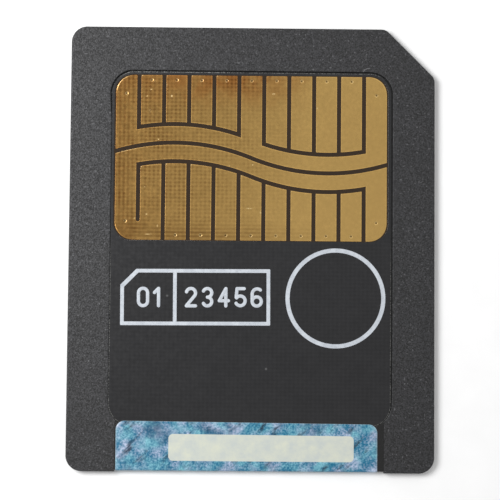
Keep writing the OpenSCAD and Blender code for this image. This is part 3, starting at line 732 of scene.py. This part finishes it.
def edge_nearness(x, y):
    """1 at the foil's edges, falling to 0 over the roll: one less the margin as a share of the roll's width.

    The roll is wide round the field's corners, and narrows from the worn left side to a crisp edge midway.
    """
    from_corner = np.minimum(np.abs(x) - FIELD_HALF_W, np.abs(y) - FIELD_HALF_L) + FIELD_ROUND
    straight = ROLL * np.clip(0.4 - x / FIELD_HALF_W, 0.4, 1)
    roll = straight + (CORNER_ROLL - straight) * np.clip(from_corner / (0.35 * FIELD_ROUND), 0, 1)
    return 1 - np.clip(foil_margin(x, y) / roll, 0, 1)


def rim_share(x, y):
    """1 at the foil's edges, falling evenly to 0 over 0.1 mm, where the etching bath left the face rough."""
    return 1 - np.clip(foil_margin(x, y) / CORNER_ROLL, 0, 1)


def corner_glints():
    """Small nicks at the upper left corner of each pad, dented and painted pale as glints."""
    inset, reach = 0.06, 0.055
    tops = [(pad_left(k) + inset, FIELD_HALF_L - inset) for k in range(2, COLUMNS + 1)]
    for k in range(2, COLUMNS):
        x = pad_left(k) + inset
        tops.append((x, float(wave_y(x, -WAVE_GAP / 2)) - BAND_PITCH - inset))
    return [[x + FIELD_X, y + FIELD_Y, reach, reach, THROUGH_GOLD] for x, y in tops]


def nick_shares(x, y):
    """The nicks as Gaussians of 1 at their middles: for each, its share at every point, and its depth."""
    for nick_x, nick_y, wide, long, depth in np.vstack([NICKS, corner_glints()]):
        yield np.exp(-(((x + FIELD_X - nick_x) / wide) ** 2 + ((y + FIELD_Y - nick_y) / long) ** 2)), depth


def lip_highlights(x, y):
    """Painted highlights on the rolled edges: full round the field's upper left corner, less round the upper
    right.

    The lower band's lip under the middle gap gets them too, less and less over its first 4.4 mm.
    """
    from_corner = np.minimum(np.abs(x) - FIELD_HALF_W, y - FIELD_HALF_L) + FIELD_ROUND
    at_corner = np.clip(from_corner / (0.3 * FIELD_ROUND), 0, 1) * np.where(x < 0, 1.0, 0.35)
    depth = -WAVE_GAP / 2 - over_wave(x, y)
    along_lip = np.clip((-9.4 - x) / 3, 0, 1) * np.clip(1 - depth / 0.09, 0, 1) * (depth >= -1e-6)
    return 0.6 * (at_corner * np.clip(1.6 * edge_nearness(x, y), 0, 1) + along_lip)


def pit_depth(x, y):
    """Depth of the dimples as a share of the deepest: one less the square of the distance in radii."""
    share = np.zeros_like(x)
    for via_x, via_y in via_places():
        share += np.clip(1 - ((x - via_x) ** 2 + (y - via_y) ** 2) / (VIA_D / 2) ** 2, 0, None)
    return share


def foil_height(x, y):
    """Height of the foil's face over the board: a quarter ellipse up from each edge.

    The shallow bowls of the dimples and the Gaussian dents of the nicks are taken off it.
    """
    share = pit_depth(x, y)
    face = FOIL_T - DIMPLE * share * (2 - share)
    face -= sum(share * depth for share, depth in nick_shares(x, y))
    return np.maximum(face, 0.004) * np.sqrt(1 - edge_nearness(x, y) ** 2)


def merged(*runs, digits=6):
    """The grid lines of several runs in rising order, each one once."""
    return np.unique(np.round(np.concatenate(runs), digits))


def spread(*pieces):
    """Rising grid lines from runs of (start, end, longest step)."""
    return merged(*[np.linspace(a, b, int(np.ceil((b - a) / step)) + 1) for a, b, step in pieces])


def across_lines():
    """Grid lines across the field, dense at pads' edges and over through-holes, and each line's block."""
    by_via = PAD_W / 2 - VIA_REACH
    half = merged(EDGE_LINES, spread((CORNER_ROLL, by_via, COARSE), (by_via, PAD_W / 2, FINE)))
    pad = merged(half, PAD_W - half)
    bridge = merged(EDGE_LINES, GAP - EDGE_LINES, [GAP / 2])
    lines, blocks = [], []
    for k in range(1, COLUMNS + 1):
        lines.append(pad_left(k) + pad[:-1])
        blocks.append(np.full(len(pad) - 1, 2 * k - 1))
        if k < COLUMNS:
            lines.append(pad_right(k) + bridge[:-1])
            blocks.append(np.full(len(bridge) - 1, 2 * k))
    lines.append([pad_right(COLUMNS)])
    return np.concatenate(lines), np.concatenate(blocks)


def contact_grid():
    """One grid over the whole field, in strips that run across it between the curved gaps.

    It gives the points' x and y, the block of each step across (odd for a pad, even for the gap after it),
    and the zone of each step along: 0 up to the slot's end and 1 beyond it in the rear row, 3 and 5 in the
    bands, 7 in the front row, and 2, 4 and 6 in the curved gaps.
    """
    x, blocks = across_lines()
    slot_end = LINK + GAP / 2
    stops = [
        CORNER_ROLL, VIA_INSET - VIA_REACH, VIA_INSET + VIA_REACH, CORNER_VIA_INSET - VIA_REACH,
        CORNER_VIA_INSET + VIA_REACH,
    ]
    near_end = merged(
        EDGE_LINES, spread(*zip(stops, stops[1:], (COARSE, FINE, COARSER, FINE))), slot_end - EDGE_LINES
    )
    band_w = BAND_PITCH - WAVE_GAP
    band = merged(EDGE_LINES, spread((CORNER_ROLL, band_w - CORNER_ROLL, COARSE)), band_w - EDGE_LINES)
    band /= band_w
    middle = np.linspace(0, 1, 44)[1:-1]
    bridge = np.linspace(0, 1, 6)
    # The lines that end at the slot between the first two columns bend round its end
    in_slot = (x > pad_right(1)) & (x < pad_left(2))
    sag = np.sqrt(np.clip((GAP / 2) ** 2 - (x - pad_right(1) - GAP / 2) ** 2, 0, None))
    slot_round = slot_end - np.where(in_slot, sag, 0)
    end_low = near_end * np.where(near_end <= slot_end + 1e-9, slot_round[:, None] / slot_end, 1.0)
    lower, mid, upper = [
        [wave_y(x, off)[:, None] + lift for off in (-WAVE_GAP / 2, WAVE_GAP / 2)]
        for lift in (-BAND_PITCH, 0, BAND_PITCH)
    ]

    def between(start, end, share):
        return start + (end - start) * share

    bottom, top = end_low - FIELD_HALF_L, FIELD_HALF_L - near_end[::-1] + 0 * x[:, None]
    under, over = lower[0] - EDGE_LINES[::-1], upper[1] + EDGE_LINES
    strips = [
        bottom,
        np.hstack([bottom[:, -1:], between(bottom[:, -1:], under[:, :1], middle), under]),
        between(*lower, bridge),
        between(lower[1], mid[0], band),
        between(*mid, np.array([0, 1])),
        between(mid[1], upper[0], band),
        between(*upper, bridge),
        np.hstack([over, between(over[:, -1:], top[:, :1], middle), top]),
    ]
    # Each strip's last line is the next one's first
    y = np.hstack([strip[:, :-1] for strip in strips] + [top[:, -1:]])
    zones = np.concatenate([np.full(strip.shape[1] - 1, zone) for zone, strip in enumerate(strips)])
    zones[np.searchsorted(near_end, slot_end - 1e-6) : len(near_end) - 1] = 1
    return (*round_corners(np.broadcast_to(x[:, None], y.shape), y), blocks, zones)


def round_corners(x, y):
    """Moves the points of each square corner onto its round one.

    With u and v from the corner's centre in radii, the point goes to u times the root of 1 - v * v / 2, and v
    times the root of 1 - u * u / 2.
    """
    u = (np.abs(x) - FIELD_HALF_W + FIELD_ROUND) / FIELD_ROUND
    v = (np.abs(y) - FIELD_HALF_L + FIELD_ROUND) / FIELD_ROUND
    turned = (u > 0) & (v > 0)
    square_u, square_v = np.where(turned, u, 0) ** 2, np.where(turned, v, 0) ** 2
    new_u, new_v = u * np.sqrt(1 - square_v / 2), v * np.sqrt(1 - square_u / 2)
    return (
        np.where(turned, np.sign(x) * (FIELD_HALF_W - FIELD_ROUND + FIELD_ROUND * new_u), x),
        np.where(turned, np.sign(y) * (FIELD_HALF_L - FIELD_ROUND + FIELD_ROUND * new_v), y),
    )


def contact_pieces(finish):
    """Cuts the grid into its pieces of foil, each a face and a flat underside that meet at the edge."""
    x, y, blocks, zones = contact_grid()
    rows, cols = x.shape
    quads = grid_quads(rows, cols).reshape(rows - 1, cols - 1, 4)
    block, zone = blocks[:, None], zones[None, :]
    column = (block + 1) / 2
    upper = (zone == 5) | (np.isin(column, (1, 6, 11)) & (zone > 5))
    lower = (zone == 3) | (np.isin(column, (1, 11)) & (zone < 3)) | ((column == 2) & (zone < 2))
    lower |= (block == 2) & (zone == 0)
    outlines = {"upper_band_contact": upper, "lower_band_contact": lower}
    for k in (2, 3, 4, 5, 7, 8, 9, 10):
        outlines[f"front_contact_{k}"] = (column == k) & (zone == 7)
    for k in range(3, COLUMNS):
        outlines[f"rear_contact_{k}"] = (column == k) & (zone < 2)
    top = np.stack([x + FIELD_X, y + FIELD_Y, BOARD_TOP + foil_height(x, y)], axis=2).reshape(-1, 3)
    under = top * [1, 1, 0] + [0, 0, BOARD_TOP]
    # The nick mark: the nicks' worn nickel, and the painted highlights of the pads' corners and the field's
    # lips
    nicks = sum(share * min(depth / THROUGH_GOLD, 1) for share, depth in nick_shares(x, y)) + lip_highlights(x, y)
    rims, pits, nicks = rim_share(x, y).ravel(), pit_depth(x, y).ravel(), nicks.ravel()
    for name, mask in outlines.items():
        used, faces = np.unique(quads[mask].ravel(), return_inverse=True)
        faces = faces.reshape(-1, 4)
        points = np.concatenate([top[used], under[used]])
        both = np.concatenate([faces, faces[:, ::-1] + len(used)])
        marks = {"edge": np.concatenate([rims[used], np.ones(len(used))])}
        marks |= {"pit": np.tile(pits[used], 2), "nick": np.tile(nicks[used], 2)}
        make_piece("plated_" + name, points, both, finish, "gold_plate", [name], marks=marks, crease=60)


# Printed figures

INK_T, STROKE, FIGURE_H, FIGURE_W, BOX_SLANT = 0.012, 0.33, 2.08, 1.25, 0.3
# The figures in each cell of the printed box, the first one's left side, and the step to the next
CELLS = (("01", -11.55, 1.52), ("23456", -6.72, 1.66))
# Strokes that cross lie these steps apart in height, so that no two faces share a plane
STROKE_LIFT, LIFT_TURN = 0.0004, 0.003


def ink_stroke(parts, closed):
    """A band of ink along a path, whose face rolls off at the sides.

    Its half width follows a half circle past each end.
    """
    line = along(parts, 60)[:, :2]
    if closed:
        line = line[:-1]
        ahead = np.roll(line, -1, axis=0) - np.roll(line, 1, axis=0)
    else:
        ahead = np.gradient(line, axis=0)
    ahead /= np.linalg.norm(ahead, axis=1, keepdims=True)
    half = np.full(len(line), STROKE / 2)
    if not closed:
        swing = np.radians(np.linspace(90, 0, 8, endpoint=False))
        past, taper = STROKE / 2 * np.sin(swing)[:, None], STROKE / 2 * np.cos(swing)
        line = np.concatenate([line[0] - ahead[0] * past, line, line[-1] + ahead[-1] * past[::-1]])
        ahead = np.concatenate([np.tile(ahead[0], (8, 1)), ahead, np.tile(ahead[-1], (8, 1))])
        half = np.concatenate([taper, half, taper[::-1]])
    aside = np.stack([ahead[:, 1], -ahead[:, 0]], axis=1)
    # Across the band: its side in half widths, and its height in ink thicknesses
    section = np.array([[-1, 0], [-1, 0.6], [-0.93, 1], [0.93, 1], [1, 0.6], [1, 0]])
    flat = line[:, None] + aside[:, None] * half[:, None, None] * section[None, :, :1]
    points = np.concatenate([flat, np.tile(section[None, :, 1:] * INK_T, (len(line), 1, 1))], axis=2)
    return points.reshape(-1, 3), grid_quads(len(line), len(section), close_rows=closed, close_cols=True)


def figure_strokes(figure):
    """The strokes of one plain counting figure: closed loops, and open chains, of lines and arcs."""
    w, h = FIGURE_W - STROKE, FIGURE_H - STROKE
    r, m = w / 2, w / 2
    ring = h / 4
    loops = {
        "0": [[((m, h - r), r, 0, 180), ((0, h - r), (0, r)), ((m, r), r, 180, 360), ((w, r), (w, h - r))]],
        "6": [[((m, r), r, 0, 360)]],
    }
    chains = {
        "1": [[((0.1 * w, 0.76 * h), (0.55 * w, h))], [((0.55 * w, h), (0.55 * w, 0))]],
        "2": [[((m, h - r), r, 165, -38), ((m + r * 0.788, h - r * 1.616), (0, 0))], [((0, 0), (w, 0))]],
        "3": [[((m, h - ring), ring, 155, -90)], [((m, ring), ring, 90, -155)]],
        "4": [[((0.72 * w, h), (0, 0.3 * h))], [((0, 0.3 * h), (w, 0.3 * h))],
              [((0.72 * w, h), (0.72 * w, 0))]],
        "5": [[((0.92 * w, h), (0.14 * w, h))], [((0.14 * w, h), (0.05 * w, 0.5 * h))],
              [((m, 1.12 * r), 1.06 * r, 142, -150)]],
        "6": [[((0, r), (0, h - 1.15 * r)), ((1.1 * r, h - 1.15 * r), 1.1 * r, 180, 52)]],
    }
    paths = [(path, True) for path in loops.get(figure, [])]
    return paths + [(path, False) for path in chains.get(figure, [])]


def printed_figures(finish):
    """Plain counting figures in the two cells of the printed box, level with its slight slant."""
    box_low, box_high = corners("printed_box")
    centre = (box_low[:2] + box_high[:2]) / 2
    slant = math.radians(BOX_SLANT)
    turn = np.array([[math.cos(slant), math.sin(slant)], [-math.sin(slant), math.cos(slant)]])
    points, quads, start = [], [], 0
    for text, left, step in CELLS:
        for i, figure in enumerate(text):
            at = [left + i * step + STROKE / 2, centre[1] - FIGURE_H / 2 + STROKE / 2]
            for path, closed in figure_strokes(figure):
                stroke, faces = ink_stroke(path, closed)
                stroke[:, :2] = (stroke[:, :2] + at - centre) @ turn + centre
                stroke[:, 2] += BOARD_TOP + STROKE_LIFT * len(points) % LIFT_TURN
                points.append(stroke)
                quads.append(faces + start)
                start += len(stroke)
    points, quads = np.concatenate(points), np.concatenate(quads)
    return make_piece("printed_figures", points, quads, finish, "white_ink", crease=30)


# Label

# How far the die-cut rim rounds in, how far the bare film shows from it, and the points across the sheet
CUT_ROLL, RIM_W, ACROSS = 0.018, 0.06, 49


def folded_label(finish):
    """The sticker: a flat loop across its width, carried along its fold line over the trailing edge.

    Along the way s its half width falls by a quarter circle at each end, and its middle runs straight, round
    two quarter circles and straight again. The front end leans by the label's slant.
    """
    outer_r = FOLD_R + LABEL_T
    near, top, low = label_low[1], label_high[2], label_low[2]
    front_y, back_y = LABEL_FRONT - card_high[1], label_high[1]
    half_w = (label_high[0] - label_low[0]) / 2
    middle = (label_high[0] + label_low[0]) / 2
    path = [
        ((front_y, top), (near + outer_r, top)),
        ((near + outer_r, top - outer_r), outer_r, 90, 180),
        ((near, top - outer_r), (near, low + outer_r)),
        ((near + outer_r, low + outer_r), outer_r, 180, 270),
        ((near + outer_r, low), (back_y, low)),
    ]
    fine = along(path, 4000)
    length = np.r_[0, np.cumsum(np.hypot(*np.diff(fine[:, :2], axis=0).T))]
    total, fold = length[-1], front_y - near
    # Lines along the sheet: dense round its ends and folds, and a line 0.05 mm inside each end
    ease = LABEL_ROUND * (1 - np.cos(np.radians(np.linspace(0, 90, 13))))
    s = merged(
        ease, [0.05], spread((LABEL_ROUND, fold - 0.4, 0.3), (fold - 0.4, fold + 1.2, 0.035)),
        np.linspace(fold + 1.2, total - LABEL_ROUND, 60), total - ease, [total - 0.05], digits=5,
    )
    at = np.stack([np.interp(s, length, column) for column in fine.T], axis=1)
    # The arcs carry their outward spokes, and the straights get theirs here
    spoke = at[:, 2:].copy()
    spoke[s < fold - outer_r] = (0, 1)
    spoke[s > total - (back_y - near - outer_r)] = (0, -1)
    spoke[at[:, 0] < near + 1e-6] = (-1, 0)
    from_end = np.minimum(np.minimum(s, total - s), LABEL_ROUND)
    half = half_w - LABEL_ROUND + np.sqrt(np.clip(LABEL_ROUND**2 - (LABEL_ROUND - from_end) ** 2, 0, None))
    # The loop across the sheet: left rim, face, right rim and adhesive side
    run, flat = np.linspace(-1, 1, ACROSS), np.ones(ACROSS)
    across = np.concatenate([[-1] * 3, run, [1] * 3, run[::-1]])
    inset = CUT_ROLL * np.concatenate([[0.3, 0, 0.3], flat, [0.3, 0, 0.3], flat])
    depth = LABEL_T * np.concatenate([[0.85, 0.5, 0.15], 0 * flat, [0.15, 0.5, 0.85], flat])
    x = middle + across * (half[:, None] - inset)
    yz = at[:, None, :2] - spoke[:, None] * depth[None, :, None]
    lean = math.tan(math.radians(LABEL_SLANT)) * np.clip(1 - s / (fold - outer_r), 0, 1)[:, None]
    points = np.stack([x, yz[..., 0] - lean * (x - middle), yz[..., 1]], axis=2)
    # The first and the last loop shut flat at half their thickness
    tips = points[[0, -1]]
    tips[..., 2] = (tips[..., 2].min(axis=1) + tips[..., 2].max(axis=1))[:, None] / 2
    points = np.concatenate([tips[:1], points, tips[1:]])
    sheet = np.stack(np.broadcast_arrays(points[..., 0], np.r_[s[0], s, s[-1]][:, None]), axis=2)
    at_side = np.clip(1 - (half[:, None] - np.abs(x - middle)) / RIM_W, 0, 1)
    at_tip = np.clip(1 - s / RIM_W, 0, 1)[:, None] + np.clip(1 - (total - s) / RIM_W, 0, 1)[:, None]
    rim = np.maximum(at_side, at_tip)
    rim = np.concatenate([rim[:1], rim, rim[-1:]])
    return make_piece(
        "folded_label", points.reshape(-1, 3), grid_quads(*points.shape[:2], close_cols=True), finish,
        "label_film", ["label_sticker"], sheet_map=sheet.reshape(-1, 2), marks={"rim": rim}, crease=50,
    )


# Assembly

card_body(moulded_abs())
board_plate(resist_board())
contact_pieces(gold_plate())
ink = screen_ink()
printed_figures(ink)
folded_label(printed_film())

# The inner pieces' finishes: name, two tones, grain and relief in millimetres, metallic and roughness
INNER_FINISHES = {
    # Acrylic tape is cast and slit: amber, smooth and a little cloudy
    "bonding_tape": ("acrylic_bonding_tape", "#a57f42", "#bb9553", 0.8, 0.003, 0.0, 0.35),
    # Copper plated into drilled holes: warm, with the fine nodules of the bath
    "plated_vias": ("plated_copper", "#b4703a", "#cf8e55", 0.05, 0.002, 1.0, 0.4),
    # Rolled copper foil etched into tracks: redder, with the grain of the oxide bath
    "inner_tracks": ("etched_copper_foil", "#a9652f", "#c9854b", 0.12, 0.002, 1.0, 0.45),
    # Filled epoxy film: pale yellow, faintly grainy
    "die_attach_film": ("die_attach_epoxy", "#cdb965", "#ddcd86", 0.1, 0.002, 0.0, 0.5),
    # Silicon ground thin on its back: blue-grey, with the grinding wheel's haze
    "memory_chip": ("ground_silicon", "#5d6470", "#7a828d", 0.08, 0.001, 0.0, 0.25),
    # Drawn gold wire: bright and smooth
    "bond_wires": ("drawn_gold_wire", "#dca93a", "#efc863", 0.05, 0.0005, 1.0, 0.2),
    # Silica-filled epoxy, transfer-moulded: black, with the glitter of its filler
    "resin_cover": ("silica_filled_epoxy", "#191919", "#2b2b2c", 0.08, 0.004, 0.0, 0.55),
}
carried_over = {node_name: inner_finish(*look) for node_name, look in INNER_FINISHES.items()}
carried_over |= {"printed_box": ink, "printed_ring": ink}
for node_name, finish in carried_over.items():
    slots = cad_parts[node_name].data.materials
    slots.clear()
    slots.append(finish)

# Ground, camera and light

GROUND_Z, GROUND_REACH = -0.02, 1500
reach = GROUND_REACH * np.linspace(-1, 1, 5)
ground_x, ground_y = np.meshgrid(reach, reach, indexing="ij")
ground_points = np.stack([ground_x, ground_y, np.full_like(ground_x, GROUND_Z)], axis=2).reshape(-1, 3)
make_piece("table_top", ground_points, grid_quads(5, 5), pale_table())

# The lens and the pose fit the card's edges and corners in the photo
camera = bpy.data.objects.new("photo_camera", bpy.data.cameras.new("photo_camera"))
bpy.context.scene.collection.objects.link(camera)
camera.location = (-1.72 * MM, -8.88 * MM, 150.42 * MM)
camera.rotation_mode = "ZYX"
camera.rotation_euler = [math.radians(angle) for angle in (3.331, -0.589, 0.523)]
camera.data.sensor_width = 36
camera.data.lens = 106.81
camera.data.clip_start, camera.data.clip_end = 0.01, 20
bpy.context.scene.camera = camera


def softbox(name, bearing, rise, distance, size, watts):
    """A square light aimed at the card from a bearing (degrees from +X) and a rise over the table."""
    b, e = math.radians(bearing), math.radians(rise)
    place = np.array([math.cos(b) * math.cos(e), math.sin(b) * math.cos(e), math.sin(e)]) * distance
    lamp = bpy.data.lights.new(name, "AREA")
    lamp.size, lamp.energy = size, watts
    made = bpy.data.objects.new(name, lamp)
    made.location = place
    made.rotation_mode = "QUATERNION"
    made.rotation_quaternion = Vector(place).to_track_quat("Z", "Y")
    bpy.context.scene.collection.objects.link(made)


softbox("key_softbox", 158, 51, 0.15, 0.075, 0.202)
softbox("upper_fill", 68, 50, 0.30, 0.25, 0.07)

world = bpy.data.worlds.new("studio")
world.use_nodes = True
world.node_tree.nodes["Background"].inputs["Color"].default_value = (1, 1, 1, 1)
world.node_tree.nodes["Background"].inputs["Strength"].default_value = 0.5
bpy.context.scene.world = world
bpy.context.scene.view_settings.view_transform = "Standard"
